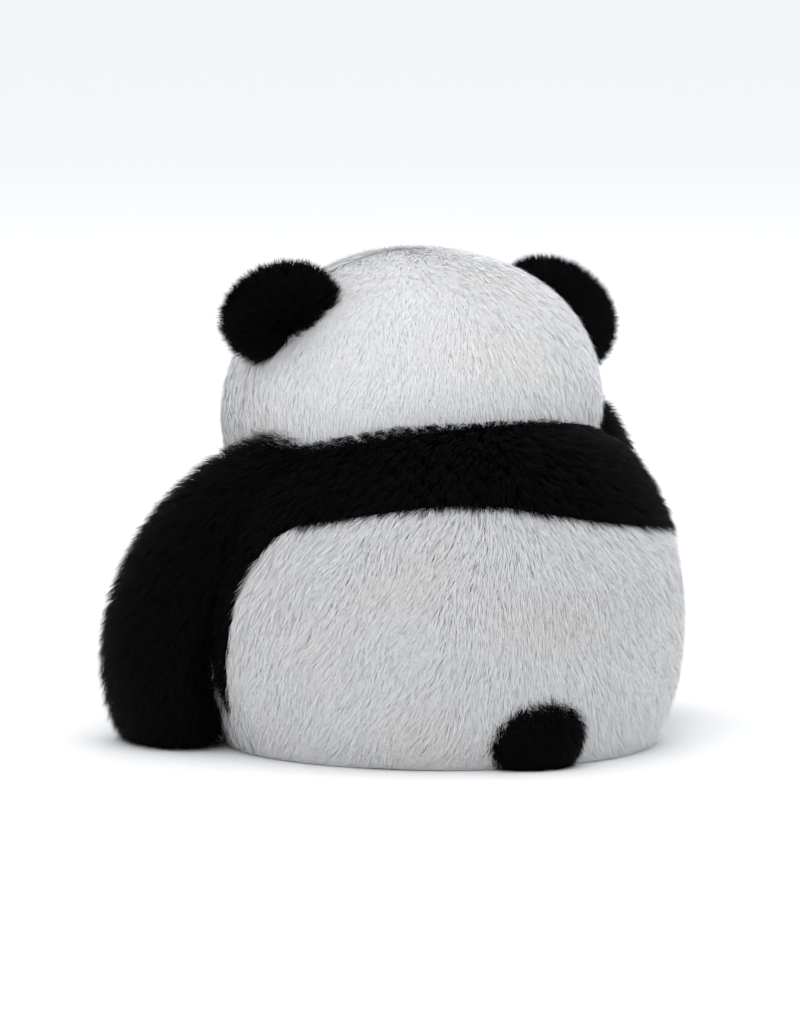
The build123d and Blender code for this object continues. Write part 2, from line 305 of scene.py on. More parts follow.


# %% Group: colour of a fibre from its map, darker at the root as painted shade
def fibre_colour_group():
    grey = (0.5, 0.5, 0.5, 1)
    tree, given, made = new_group(
        "fibre_colour",
        [("Color", "Root", grey), ("Color", "Warm tip", grey), ("Color", "Cool tip", grey)],
        [("Color", "Colour")],
    )
    uv = tree.nodes.new("ShaderNodeUVMap")
    uv.uv_map = "OFBake"
    split = tree.nodes.new("ShaderNodeSeparateXYZ")
    tree.links.new(uv.outputs["UV"], split.inputs["Vector"])
    # Painted shade: over the lower three quarters of its length the colour runs from the darker root colour to the tip
    # colour, as if the pile shaded its own roots.
    rise = tree.nodes.new("ShaderNodeMapRange")
    rise.interpolation_type = "SMOOTHSTEP"
    rise.inputs["From Max"].default_value = 0.75
    tree.links.new(split.outputs["Y"], rise.inputs["Value"])
    tip = mix_colours(
        tree, split.outputs["X"], given.outputs["Warm tip"], given.outputs["Cool tip"]
    )
    colour = mix_colours(tree, rise.outputs["Result"], given.outputs["Root"], tip)
    tree.links.new(colour, made.inputs["Colour"])
    return tree


FIBRE_COLOUR = fibre_colour_group()
print("group", FIBRE_COLOUR.name)


# %% Group: mottled, finely tufted backing
def pile_ground_group():
    grey = (0.5, 0.5, 0.5, 1)
    tree, given, made = new_group(
        "pile_ground",
        [
            ("Color", "Dark", grey),
            ("Color", "Light", grey),
            ("Float", "Grain", 900.0),
            ("Float", "Patch", 30.0),
        ],
        [("Color", "Colour"), ("Float", "Height")],
    )
    place = tree.nodes.new("ShaderNodeTexCoord")
    grain = tree.nodes.new("ShaderNodeTexNoise")
    patch = tree.nodes.new("ShaderNodeTexNoise")
    for noise, scale in ((grain, "Grain"), (patch, "Patch")):
        tree.links.new(place.outputs["Object"], noise.inputs["Vector"])
        tree.links.new(given.outputs[scale], noise.inputs["Scale"])
    both = tree.nodes.new("ShaderNodeMath")
    both.operation = "MULTIPLY_ADD"
    both.inputs[1].default_value = 0.6
    tree.links.new(grain.outputs["Fac"], both.inputs[0])
    tree.links.new(patch.outputs["Fac"], both.inputs[2])
    colour = mix_colours(
        tree, both.outputs["Value"], given.outputs["Dark"], given.outputs["Light"]
    )
    tree.links.new(colour, made.inputs["Colour"])
    tree.links.new(grain.outputs["Fac"], made.inputs["Height"])
    return tree


PILE_GROUND = pile_ground_group()
print("group", PILE_GROUND.name)


# %% Materials: fibres and backings
def blank_material(name, roughness, **constant):
    """A Principled material; what is the same all over is set on the shader itself."""
    material = bpy.data.materials.new(name)
    material.use_nodes = True
    shader = material.node_tree.nodes["Principled BSDF"]
    shader.inputs["Roughness"].default_value = roughness
    for label, value in constant.items():
        shader.inputs[label.replace("_", " ")].default_value = value
    return material, shader


def fibre_material(name, root, warm, cool, roughness, **constant):
    material, shader = blank_material(name, roughness, **constant)
    tree = material.node_tree
    group = tree.nodes.new("ShaderNodeGroup")
    group.node_tree = FIBRE_COLOUR
    for label, colour in (("Root", root), ("Warm tip", warm), ("Cool tip", cool)):
        group.inputs[label].default_value = (*colour, 1)
    tree.links.new(group.outputs["Colour"], shader.inputs["Base Color"])
    return material


def ground_material(name, dark, light, roughness, grain, patch, bump, **constant):
    material, shader = blank_material(name, roughness, **constant)
    tree = material.node_tree
    group = tree.nodes.new("ShaderNodeGroup")
    group.node_tree = PILE_GROUND
    group.inputs["Dark"].default_value = (*dark, 1)
    group.inputs["Light"].default_value = (*light, 1)
    group.inputs["Grain"].default_value = grain
    group.inputs["Patch"].default_value = patch
    tree.links.new(group.outputs["Colour"], shader.inputs["Base Color"])
    relief = tree.nodes.new("ShaderNodeBump")
    relief.inputs["Strength"].default_value = bump
    relief.inputs["Distance"].default_value = 0.002
    tree.links.new(group.outputs["Height"], relief.inputs["Height"])
    tree.links.new(relief.outputs["Normal"], shader.inputs["Normal"])
    return material


# Each coat's root colour is darker than its tips: painted shade deep in the pile.
WHITE_FIBRE = fibre_material(
    "white_fibre", (0.84, 0.84, 0.85), (0.895, 0.885, 0.86), (0.91, 0.92, 0.945), 0.85,
    Specular_IOR_Level=0.1,
)
# Painted shade: the torso's white fibres are a darker copy of the head's white fibre, so the torso looks less lit than
# the head; the fabric is one white.
SHADED_BODY_FIBRE = fibre_material(
    "white_fibre_painted_shade", (0.715, 0.715, 0.725), (0.79, 0.78, 0.755), (0.805, 0.815, 0.84), 0.85,
    Specular_IOR_Level=0.1,
)
BLACK_FIBRE = fibre_material(
    "black_fibre", (0.0006, 0.0006, 0.0008), (0.0016, 0.0016, 0.0018), (0.0022, 0.0024, 0.0034),
    0.6, Specular_IOR_Level=0.04,
)
SOLE_FIBRE = fibre_material(
    "sole_fibre", (0.008, 0.008, 0.01), (0.02, 0.02, 0.022), (0.03, 0.03, 0.034), 0.8,
    Specular_IOR_Level=0.1,
)
WHITE_GROUND = ground_material(
    "white_backing", (0.80, 0.79, 0.79), (0.88, 0.88, 0.89), 0.9, 900, 30, 0.3,
    Sheen_Weight=0.3,
)
BLACK_GROUND = ground_material(
    "black_backing", (0.0006, 0.0006, 0.0008), (0.002, 0.002, 0.0025), 0.9, 900, 30, 0.5,
    Specular_IOR_Level=0.03,
)
SOLE_GROUND = ground_material(
    "sole_plush", (0.010, 0.010, 0.012), (0.025, 0.025, 0.029), 0.9, 1600, 60, 0.8,
    Sheen_Weight=0.3,
)
print("fibre and backing materials are made")

# %% [markdown]
# ## Shapes as formulas
# Each body of the toy is a function of two numbers. The torso is a circle whose radius
# changes with height. The head is a ball flattened along the neck. Limbs are ovals
# carried along a curved middle line. Slow waves are added so that the stuffing shows.


# %% Slow waves and small array helpers
def wobble(points, size, seed):
    """Sum of three sine waves over space, between about -1 and 1, each `size` long."""
    spin = np.random.default_rng(seed)
    total = np.zeros(points.shape[:-1])
    for _ in range(3):
        way = spin.normal(size=3)
        way *= 2 * math.pi / (size * np.linalg.norm(way))
        total += np.sin(points @ way + spin.uniform(0, 2 * math.pi))
    return total / 3


def unit(vectors):
    """Each vector at length one."""
    return vectors / np.maximum(np.linalg.norm(vectors, axis=-1, keepdims=True), 1e-12)


def stack(x, y, z):
    """Three coordinate arrays as points."""
    return np.stack(np.broadcast_arrays(x, y, z), axis=-1)


# %% Torso: radius of a circle as a function of height
LUMP = 2.0 * MM
FOOT = np.array([135, 0]) * MM
BELLY = np.array([156, 64]) * MM
SHOULDER = np.array([133, 172]) * MM
CROWN = np.array([0, 236]) * MM


def arc_through(first, second, third):
    """Centre and radius of the circle through three points of the profile."""
    sides = 2 * np.array([second - first, third - first])
    squares = np.array([second @ second - first @ first, third @ third - first @ first])
    centre = np.linalg.solve(sides, squares)
    return centre, math.dist(centre, first)


SIDE_CENTRE, SIDE_RADIUS = arc_through(FOOT, BELLY, SHOULDER)
INWARD = (SIDE_CENTRE - SHOULDER) / SIDE_RADIUS
TOP_RADIUS = (CROWN - SHOULDER) @ (CROWN - SHOULDER) / (2 * (CROWN - SHOULDER) @ INWARD)
TOP_CENTRE = SHOULDER + INWARD * TOP_RADIUS


def torso_radius(z):
    """One arc from the floor over the belly to the shoulder, and one that carries on
    from it smoothly to the crown."""
    side = SIDE_RADIUS**2 - (z - SIDE_CENTRE[1]) ** 2
    top = np.maximum(TOP_RADIUS**2 - (z - TOP_CENTRE[1]) ** 2, 0)
    below = SIDE_CENTRE[0] + np.sqrt(np.maximum(side, 0))
    above = TOP_CENTRE[0] + np.sqrt(top)
    return np.where(z < SHOULDER[1], below, above)


def torso(turn, z):
    """Point at an angle about the upright axis and a height, with slow lumps."""
    radius = torso_radius(z)
    flat = stack(radius * np.cos(turn), radius * np.sin(turn), z)
    away = stack(np.cos(turn), np.sin(turn), 0 * z)
    return flat + away * (LUMP * wobble(flat, 0.16, 3))[..., None]


# %% Head: a ball flattened along the neck axis
def head_reach(way, grow=0.0):
    """Distance from the head's centre to its surface along each unit direction: a
    superellipse of power 2.2 between the neck axis and the equator."""
    along = np.abs(way @ NECK_AXIS)
    across = np.sqrt(np.maximum(1 - along**2, 0))
    tall = HEAD_HALF_HEIGHT + grow
    wide = HEAD_RADIUS + grow
    return ((along / tall) ** 2.2 + (across / wide) ** 2.2) ** (-1 / 2.2)


def head(turn, rise):
    """Point of the head in the direction given by an angle about Z and one above it.
    A gentle peak stands on the crown."""
    way = stack(np.cos(rise) * np.cos(turn), np.cos(rise) * np.sin(turn), np.sin(rise))
    peak = CROWN_PEAK * np.maximum(way @ NECK_AXIS, 0) ** 6
    flat = HEAD_CENTRE + way * (head_reach(way, -1.5 * MM) + peak)[..., None]
    return flat + way * (1.6 * MM * wobble(flat, 0.13, 5))[..., None]


def outside_head(points, grow=0.0):
    """How far points lie outside the head's surface, negative inside."""
    offset = points - HEAD_CENTRE
    distance = np.linalg.norm(offset, axis=-1)
    return distance - head_reach(unit(offset), grow)


def outside_torso(points):
    """How far points lie outside the torso, sideways or over its crown."""
    reach = np.hypot(points[..., 0], points[..., 1])
    beside = reach - torso_radius(np.clip(points[..., 2], 0, TORSO_TOP))
    return np.maximum(beside, points[..., 2] - TORSO_TOP)


# %% Limb: an oval carried along a bent middle line
def limb(start, bend, end, side_size, fore_size, blunt):
    """Middle line: a quadratic curve from start past bend to end. Section: an oval
    across it whose half sizes run from their first to their second value, times
    (1 - |2t - 1| ** blunt) ** (1 / blunt), which closes both ends."""
    start, bend, end = (np.array(p) * MM for p in (start, bend, end))

    def surface(turn, t):
        t = np.asarray(t)[..., None]
        middle = (1 - t) ** 2 * start + 2 * t * (1 - t) * bend + t**2 * end
        line = unit(2 * (1 - t) * (bend - start) + 2 * t * (end - bend))
        side = unit(np.cross(line, np.cross(np.array([1.0, 0, 0]), line)))
        fore = np.cross(line, side)
        cap = np.clip(1 - np.abs(2 * t - 1) ** blunt, 0, 1) ** (1 / blunt)
        wide = (side_size[0] * (1 - t) + side_size[1] * t) * MM * cap
        deep = (fore_size[0] * (1 - t) + fore_size[1] * t) * MM * cap
        turn = np.asarray(turn)[..., None]
        point = middle + side * wide * np.cos(turn) + fore * deep * np.sin(turn)
        point = point + unit(point - middle) * (1.5 * MM * wobble(point, 0.09, 7))[..., None]
        return settled(point)

    return surface


def settled(points, floor_gap=1.5 * MM, softness=9 * MM):
    """Points pressed flat where they would pass the floor: a smooth maximum."""
    lift = points[..., 2] - floor_gap
    pressed = (lift + np.sqrt(lift**2 + softness**2)) / 2
    result = points.copy()
    result[..., 2] = np.where(lift < 4 * softness, pressed, lift) + floor_gap
    return result


# %% [markdown]
# ## From a formula to a sewn, padded panel
# A panel is the part of a surface between two curves. Its mesh is a grid of points on
# the surface, a second grid just inside it, and a rim that joins the two, so it is closed.


# %% Panel meshes
def mesh_from_grid(name, outer, inner=None):
    """Quads over a grid of points. With an inner grid, the two are joined all round."""
    rows, columns = outer.shape[:2]
    index = np.arange(rows * columns).reshape(rows, columns)

    def quads(grid):
        corners = (grid[:-1, :-1], grid[:-1, 1:], grid[1:, 1:], grid[1:, :-1])
        return np.stack(corners, axis=-1).reshape(-1, 4)

    points = outer.reshape(-1, 3)
    faces = quads(index)
    if inner is not None:
        points = np.concatenate([points, inner.reshape(-1, 3)])
        below = index + rows * columns
        faces = np.concatenate([faces, quads(below)[:, ::-1]])
        edge = np.concatenate([index[0], index[1:, -1], index[-1, -2::-1], index[-2:0:-1, 0]])
        ring = np.append(edge, edge[0])
        low = ring + rows * columns
        rim = np.stack([ring[1:], ring[:-1], low[:-1], low[1:]], axis=-1)
        faces = np.concatenate([faces, rim])
    mesh = bpy.data.meshes.new(name)
    mesh.from_pydata(points.tolist(), [], faces.tolist())
    tidy = bmesh.new()
    tidy.from_mesh(mesh)
    bmesh.ops.remove_doubles(tidy, verts=tidy.verts, dist=1e-5)
    bmesh.ops.dissolve_degenerate(tidy, dist=1e-6, edges=tidy.edges)
    bmesh.ops.recalc_face_normals(tidy, faces=tidy.faces)
    tidy.to_mesh(mesh)
    tidy.free()
    mesh.polygons.foreach_set("use_smooth", [True] * len(mesh.polygons))
    return mesh


def add_piece(name, mesh, material, body, slot):
    """Puts a mesh into the scene at the origin, riding on a body."""
    piece = bpy.data.objects.new(name, mesh)
    mesh.materials.append(material)
    bpy.context.scene.collection.objects.link(piece)
    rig.ride(piece, body)
    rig.slot(piece, slot)
    return piece


def frame_of(patch, s, t):
    """Points of a patch with their outward normals and how much area each stands for."""
    step = 1e-4
    here = patch(s, t)
    across = patch(s + step, t) - patch(s - step, t)
    along = patch(s, t + step) - patch(s, t - step)
    normal = np.cross(across, along)
    size = np.linalg.norm(normal, axis=-1)
    return here, normal / np.maximum(size, 1e-15)[..., None], size


def padded_panel(name, patch, shape, wall, body, material, slot, nodes, fill=0.8):
    """A padded panel from a patch of two numbers from 0 to 1, as a closed mesh."""
    t, s = np.meshgrid(np.linspace(0, 1, shape[1]), np.linspace(0, 1, shape[0]), indexing="ij")
    points = patch(s, t)
    inner = None
    if wall:
        inside = np.clip(t, 0.002, 0.998)
        _, normal, _ = frame_of(patch, s, inside)
        middle = points.reshape(-1, 3).mean(axis=0)
        if ((points - middle) * normal).sum() < 0:
            normal = -normal
        inner = points - normal * wall
    piece = add_piece(name, mesh_from_grid(name, points, inner), material, body, slot)
    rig.padded(piece, fill=fill)
    if nodes:
        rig.replaces(piece, *nodes)
    print(name, len(piece.data.polygons), "faces")
    return piece


# %% [markdown]
# ## Growing the coat
# A fibre is a narrow, tapering blade of three triangles: it leaves the backing steeply,
# then lies over in the direction the pile was brushed. Fibres near each other lean
# together and share a tip, which gives faux fur its tufts. All roots, bends and tips
# are worked out at once as arrays.


# %% Tufts: the nearest of scattered centres
def tuft_centres(points, size, seed):
    """Nearest of the scattered points that each cube of the given size holds one of."""
    cell = np.floor(points / size - 0.5).astype(np.int64)
    best = np.full(len(points), np.inf)
    centre = np.zeros_like(points)
    for corner in np.ndindex(2, 2, 2):
        cube = cell + np.array(corner)
        key = (cube * np.array([73856093, 19349663, 83492791])).sum(axis=1) + seed * 7919
        spread = np.stack([(key * k % 10007) / 10007 for k in (31, 57, 91)], axis=1)
        spot = (cube + spread) * size
        gap = ((spot - points) ** 2).sum(axis=1)
        nearer = gap < best
        best = np.where(nearer, gap, best)
        centre = np.where(nearer[:, None], spot, centre)
    return centre


# %% Roots: evenly scattered over a patch
def scattered_roots(patch, count, keep, spin):
    """Random roots with normals, as many to each square millimetre all over the patch."""
    found = []
    total = 0
    while total < count:
        s, t = spin.uniform(0.0005, 0.9995, (2, 4 * count))
        here, normal, size = frame_of(patch, s, t)
        chosen = spin.uniform(0, np.quantile(size, 0.995), len(s)) < size
        if keep is not None:
            chosen &= keep(here)
        found.append(np.concatenate([here[chosen], normal[chosen]], axis=1))
        total += chosen.sum()
        if len(found) > 12:
            break
    both = np.concatenate(found)[:count]
    return both[:, :3], both[:, 3:]


# %% Fibres: blades of three triangles
STRAY = 0.16
SWIRL = 0.35
SWIRL_SIZE = 55 * MM
BEND_SHARE = 0.35


def fibre_mesh(name, root, normal, way, length, lift, width, tuft, tone, spin):
    """Root, bend and tip of each blade. The bend lies half a length from the root at the
    first lift angle, and the tip half a length on at the second. Both are drawn towards
    the tuft's centre, the tip most. The way each was brushed strays a little from root to
    root and swirls slowly over the coat, and no blade passes through the floor."""
    count = len(root)
    size, pull, seed = tuft
    way = unit(way - normal * (way * normal).sum(axis=1)[:, None])
    swirl = SWIRL * wobble(root, SWIRL_SIZE, seed + 3)
    turn = (spin.normal(0, STRAY, count) + swirl)[:, None]
    way = unit(way * np.cos(turn) + np.cross(normal, way) * np.sin(turn))
    centre = tuft_centres(root, size, seed)
    draw = centre - root
    draw -= normal * (draw * normal).sum(axis=1)[:, None]
    draw *= pull
    reach = length * spin.uniform(0.72, 1.12, count)
    first = lift[0] * spin.uniform(0.8, 1.2, count)
    second = lift[1] + spin.normal(0, 0.13, count)
    half = (reach / 2)[:, None]
    bend = root + half * (way * np.cos(first)[:, None] + normal * np.sin(first)[:, None])
    tip = bend + half * (way * np.cos(second)[:, None] + normal * np.sin(second)[:, None])
    bend += BEND_SHARE * draw
    tip += draw
    for point in (bend, tip):
        point[:, 2] = np.maximum(point[:, 2], 0.4 * MM + 0.6 * MM * spin.random(count))
    blade = unit(np.cross(normal, tip - root))
    roll = spin.uniform(-0.6, 0.6, count)[:, None]
    blade = blade * np.cos(roll) + unit(np.cross(blade, tip - root)) * np.sin(roll)
    thick = (width * spin.uniform(0.7, 1.3, count) / 2)[:, None]
    corners = np.stack(
        [root - blade * thick, root + blade * thick, bend - 0.8 * blade * thick,
         bend + 0.8 * blade * thick, tip], axis=1,
    )
    facing = np.cross(corners[:, 1] - corners[:, 0], corners[:, 2] - corners[:, 0])
    turned = (facing * normal).sum(axis=1) < 0
    corners[turned] = corners[turned][:, [1, 0, 3, 2, 4]]
    return blades_to_mesh(name, corners, normal, tone)


def blades_to_mesh(name, corners, normal, tone):
    """One quad and one triangle to a blade, with a map of tone and length. A blade is
    shaded as the skin under it is, so the coat looks soft."""
    count = len(corners)
    mesh = bpy.data.meshes.new(name)
    mesh.vertices.add(5 * count)
    mesh.vertices.foreach_set("co", corners.astype(np.float32).ravel())
    base = 5 * np.arange(count)[:, None]
    loops = (base + np.array([0, 1, 3, 2, 2, 3, 4])).ravel()
    mesh.loops.add(len(loops))
    mesh.loops.foreach_set("vertex_index", loops)
    mesh.polygons.add(2 * count)
    starts = (7 * np.arange(count)[:, None] + np.array([0, 4])).ravel()
    mesh.polygons.foreach_set("loop_start", starts)
    mesh.polygons.foreach_set("loop_total", np.tile([4, 3], count))
    mesh.polygons.foreach_set("use_smooth", np.ones(2 * count, dtype=bool))
    band = 0.02
    left = band + tone * (1 - 3 * band)
    across = left[:, None] + band * np.array([0, 1, 1, 0, 0, 1, 0.5])
    along = np.tile([0.02, 0.02, 0.5, 0.5, 0.5, 0.5, 0.98], (count, 1))
    uv = mesh.uv_layers.new(name="OFBake")
    uv.data.foreach_set("uv", np.stack([across, along], axis=-1).astype(np.float32).ravel())
    mesh.update(calc_edges=True)
    mesh.validate()
    mesh.normals_split_custom_set_from_vertices(np.repeat(normal, 5, axis=0).tolist())
    return mesh


# %% Coats: a panel's fibres in pieces of limited size
FIBRES_IN_A_PIECE = 60000
FINE = 1.0 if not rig.quick() else 0.35
coats = {}


def grow_coat(name, patch, count, body, kind, flow, length, lift, width, tuft, keep=None, seed=1):
    """Grows a coat on a patch: `flow` gives each root the direction it was brushed in."""
    material, slot = kind
    count = int(count * FINE)
    width = width / math.sqrt(FINE)
    pieces = max(1, math.ceil(count / FIBRES_IN_A_PIECE))
    for part in range(pieces):
        spin = np.random.default_rng(1000 * seed + part)
        root, normal = scattered_roots(patch, count // pieces, keep, spin)
        if (normal * (root - root.mean(axis=0))).sum() < 0:
            normal = -normal
        way = flow(root, normal)
        reach = length(root) if callable(length) else length * np.ones(len(root))
        rise = lift(root) if callable(lift) else lift
        tone = 0.5 + 0.3 * wobble(root, 0.07, seed) + spin.normal(0, 0.12, len(root))
        label = f"{name}_{part + 1}" if pieces > 1 else name
        mesh = fibre_mesh(
            label, root, normal, way, reach, rise, width, (*tuft, seed),
            np.clip(tone, 0, 1), spin,
        )
        add_piece(label, mesh, material, body, slot)
        coats[label] = len(root)
    print(name, count, "fibres in", pieces)


WHITE = (WHITE_FIBRE, "white_fur")
# The torso's darker white: painted shade.
SHADED_BODY_WHITE = (SHADED_BODY_FIBRE, "white_fur")
BLACK = (BLACK_FIBRE, "black_fur")
SOLE = (SOLE_FIBRE, "short_pile")


# %% [markdown]
# ## The torso
# A flat base, a white belly and back, and a black yoke over the shoulders whose lower
# edge falls towards the arms. The nap runs down and fans out to the sides. The white
# coat here is a darker copy of the head's: painted shade.

# %% Curves that bound the torso's panels
YOKE_CREST = 171 * MM
YOKE_DROP = 44 * MM
YOKE_REACH = 150 * MM
YOKE_TILT = 0.18
PLUNGE = 130 * MM
PLUNGE_SPAN = 0.42
YOKE_FOOT = 35 * MM
turns = np.linspace(-math.pi / 2, 3 * math.pi / 2, 361)
heights = np.linspace(0.09, TORSO_TOP, 400)


def yoke_edge(turn):
    """Height of the yoke's lower edge. It rises from the toy's right to its middle,
    then rounds over to the left, and it plunges down beside each arm."""
    side = 0.93 * BELLY_RADIUS * np.cos(turn)
    near_arm = np.clip(1 - np.abs(np.sin(turn)) / PLUNGE_SPAN, 0, 1)
    rounding = YOKE_DROP * (np.maximum(side, 0) / YOKE_REACH) ** 2
    crest = YOKE_CREST + YOKE_TILT * side - rounding
    return np.maximum(crest - PLUNGE * near_arm**2.2, YOKE_FOOT)


def first_height_in_head():
    """Height at which the torso's side passes into the head, for each angle."""
    grid_turn, grid_height = np.meshgrid(turns, heights, indexing="ij")
    inside = outside_head(torso(grid_turn, grid_height), -6 * MM) < 0
    first = np.where(inside.any(axis=1), inside.argmax(axis=1), len(heights) - 1)
    return heights[first]


SOCKET = first_height_in_head()
print("the head sits on the torso from", round(SOCKET.min(), 3), "to", round(SOCKET.max(), 3))


def socket_edge(turn):
    """Height of the yoke's upper edge, where it passes under the head."""
    wrapped = (turn + math.pi / 2) % (2 * math.pi) - math.pi / 2
    return np.maximum(np.interp(wrapped, turns, SOCKET), yoke_edge(turn) + 4 * MM)


def between(surface, first, last, low, high):
    """Patch of a surface between two angles and two curves of height."""

    def patch(s, t):
        turn = first + (last - first) * s
        return surface(turn, low(turn) * (1 - t) + high(turn) * t)

    return patch


HALF = math.pi
floor_edge = lambda turn: 1.2 * MM + 0 * turn
back_patch = between(torso, 0, HALF, floor_edge, yoke_edge)
belly_patch = between(torso, HALF, 2 * HALF, floor_edge, yoke_edge)
yoke_patch = between(torso, 0, 2 * HALF, yoke_edge, socket_edge)


def base_patch(s, t):
    """Flat disc at the floor, from its middle to the foot of the torso's side."""
    turn = 2 * math.pi * s
    radius = (torso_radius(np.array(2 * MM)) - 1 * MM) * t
    return stack(radius * np.cos(turn), radius * np.sin(turn), 0.8 * MM + 0 * turn)


# %% Torso panels
WALL = 5 * MM
padded_panel("back_panel_padding", back_patch, (84, 40), WALL, "torso", WHITE_GROUND,
             "white_fur", ["back_panel", "torso_filling"])
padded_panel("belly_panel_padding", belly_patch, (84, 40), WALL, "torso", WHITE_GROUND,
             "white_fur", ["belly_panel"])
padded_panel("shoulder_yoke_padding", yoke_patch, (160, 20), WALL, "torso", BLACK_GROUND,
             "black_fur", ["shoulder_yoke"])
padded_panel("base_panel_cloth", base_patch, (96, 12), 3 * MM, "torso", WHITE_GROUND,
             "white_fur", ["base_panel"], fill=0.4)


# %% Torso coats
def down_and_out(root, normal):
    """Downwards, and sideways in step with how far to the side the root is."""
    side = 1.3 * root[:, 0] / BELLY_RADIUS
    return stack(side, 0.15 * np.sign(root[:, 1]), -1)


def free_of_head(points):
    """Roots that the head doesn't cover."""
    return outside_head(points) > -2 * MM


def yoke_length(root):
    """Shorter next to the head, so that the white coat hangs over the black one,
    but less so on the toy's left."""
    shortest = 6 + 8 * np.clip(root[:, 0] / (40 * MM) - 0.5, 0, 1)
    far = np.clip(outside_head(root) / (22 * MM), 0, 1)
    return (shortest + (17 - shortest) * far) * MM


TUFT = (7 * MM, 0.22)
BODY_LIFT = (0.8, 0.15)
FINE_FIBRE = 0.42 * MM
# The back and belly coats take the darker copy of the white fibre: painted shade on the torso.
grow_coat("back_coat", back_patch, 110000, "torso", SHADED_BODY_WHITE, down_and_out, 17 * MM,
          BODY_LIFT, FINE_FIBRE, TUFT, free_of_head, seed=11)
grow_coat("belly_coat", belly_patch, 48000, "torso", SHADED_BODY_WHITE, down_and_out, 17 * MM,
          BODY_LIFT, FINE_FIBRE, TUFT, free_of_head, seed=12)
grow_coat("yoke_coat", yoke_patch, 50000, "torso", BLACK, down_and_out, yoke_length,
          (1.0, 0.4), 0.6 * MM, (8 * MM, 0.55), free_of_head, seed=13)

# %% [markdown]
# ## The head
# Two panels meet over the crown from ear to ear. On the back the nap runs down and out
# to the sides, so the coat overhangs the yoke in pointed tufts.

# %% Head panels
rises = np.linspace(-math.pi / 2, math.pi / 2, 400)


def neck_rise():
    """Lowest direction in which the head's surface is still over the neck seam."""
    grid_turn, grid_rise = np.meshgrid(turns, rises, indexing="ij")
    over = (head(grid_turn, grid_rise) - HEAD_CENTRE) @ NECK_AXIS > -NECK_DROP
    return rises[over.argmax(axis=1)]


NECK_RISE = neck_rise()
crown_edge = lambda turn: math.pi / 2 + 0 * turn


def neck_edge(turn):
    """Lowest direction of the head's panels, at the neck seam."""
    wrapped = (turn + math.pi / 2) % (2 * math.pi) - math.pi / 2
    return np.interp(wrapped, turns, NECK_RISE)


head_back_patch = between(head, 0, HALF, neck_edge, crown_edge)
face_patch = between(head, HALF, 2 * HALF, neck_edge, crown_edge)
padded_panel("head_back_padding", head_back_patch, (80, 54), WALL, "head", WHITE_GROUND,
             "white_fur", ["head_back_panel", "head_filling"])
padded_panel("face_padding", face_patch, (80, 54), WALL, "head", WHITE_GROUND,
             "white_fur", ["face_panel"])

# %% Where the eyes and the muzzle are
EYE = (np.array(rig.box("eye_left")[0]) + np.array(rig.box("eye_left")[1])) / 2
PATCH_LOW, PATCH_HIGH = (np.array(corner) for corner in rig.box("eye_patch_left"))
PATCH_MIDDLE = (PATCH_LOW + PATCH_HIGH) / 2
PATCH_LEAN = math.radians(28)
PATCH_SIZE = (19 * MM, 26 * MM)
MUZZLE_CENTRE = np.array([0, -150, 196]) * MM
MUZZLE_SIZE = np.array([41, 33.5, 34]) * MM


def in_eye_patch(points, grow=0.0):
    """Whether points on the face lie in the leaning oval round either eye."""
    x = np.abs(points[..., 0]) - PATCH_MIDDLE[0]
    z = points[..., 2] - PATCH_MIDDLE[2]
    wide = x * math.cos(PATCH_LEAN) + z * math.sin(PATCH_LEAN)
    tall = z * math.cos(PATCH_LEAN) - x * math.sin(PATCH_LEAN)
    oval = (wide / (PATCH_SIZE[0] + grow)) ** 2 + (tall / (PATCH_SIZE[1] + grow)) ** 2
    return (oval < 1) & (points[..., 1] < HEAD_CENTRE[1])


def outside_muzzle(points):
    """Above 0 outside the muzzle's oval ball, below 0 inside it."""
    return np.linalg.norm((points - MUZZLE_CENTRE) / MUZZLE_SIZE, axis=-1) - 1


# %% Head coats
def head_flow(root, normal):
    """Combed back over the crown, then down the back and out towards the sides."""
    offset = root - HEAD_CENTRE
    return stack(1.1 * offset[:, 0] / HEAD_RADIUS, 0.55, -1)


def face_flow(root, normal):
    """Away from the muzzle over the cheeks and the brow, and back at the sides."""
    offset = root - MUZZLE_CENTRE
    away = unit(stack(offset[:, 0], 0.05, offset[:, 2] - 0.03))
    back = np.clip((root[:, 1] - MUZZLE_CENTRE[1]) / 0.1, 0, 1)[:, None]
    return away * (1 - back) + unit(head_flow(root, normal)) * back


def near_neck(root):
    """From 0 well above the neck to 1 at its seam."""
    over = ((root - HEAD_CENTRE) @ NECK_AXIS + NECK_DROP) / (45 * MM)
    return 1 - np.clip(over, 0, 1)


def near_crown(root):
    """From 0 at the head's widest ring to 1 at its crown."""
    return np.clip((root - HEAD_CENTRE) @ NECK_AXIS / HEAD_HALF_HEIGHT, 0, 1)


def to_the_right(root):
    """From 0 in the middle to 1 well to the toy's right."""
    return np.clip(-root[:, 0] / (50 * MM), 0, 1)


def head_length(root):
    """Shorter over the crown, and longer towards the neck, where the coat hangs over
    the yoke."""
    return (16 - 6 * near_crown(root) + 9 * near_neck(root)) * MM


def head_lift(root):
    """Lying flat on the crown, low below it, and steep at the neck on the toy's
    right, where the coat hangs free."""
    free = near_neck(root) * to_the_right(root)
    return 0.5 - 0.33 * near_crown(root) + 0.45 * free, 0.06 + 0.75 * free


def face_lift(root):
    """Lying flat on the crown, as the back of the head does."""
    return 0.5 - 0.33 * near_crown(root), 0.06


def face_length(root):
    """Short round the muzzle and the eyes, long on the cheeks and the brow."""
    far = np.clip(outside_muzzle(root) / 1.6, 0, 1)
    eyes = np.clip(np.hypot(np.abs(root[:, 0]) - EYE[0], root[:, 2] - EYE[2]) / 0.05, 0, 1)
    front = np.clip((HEAD_CENTRE[1] - root[:, 1]) / 0.09, 0, 1)
    return (17 - 11 * front * (1 - np.minimum(far, eyes))) * MM


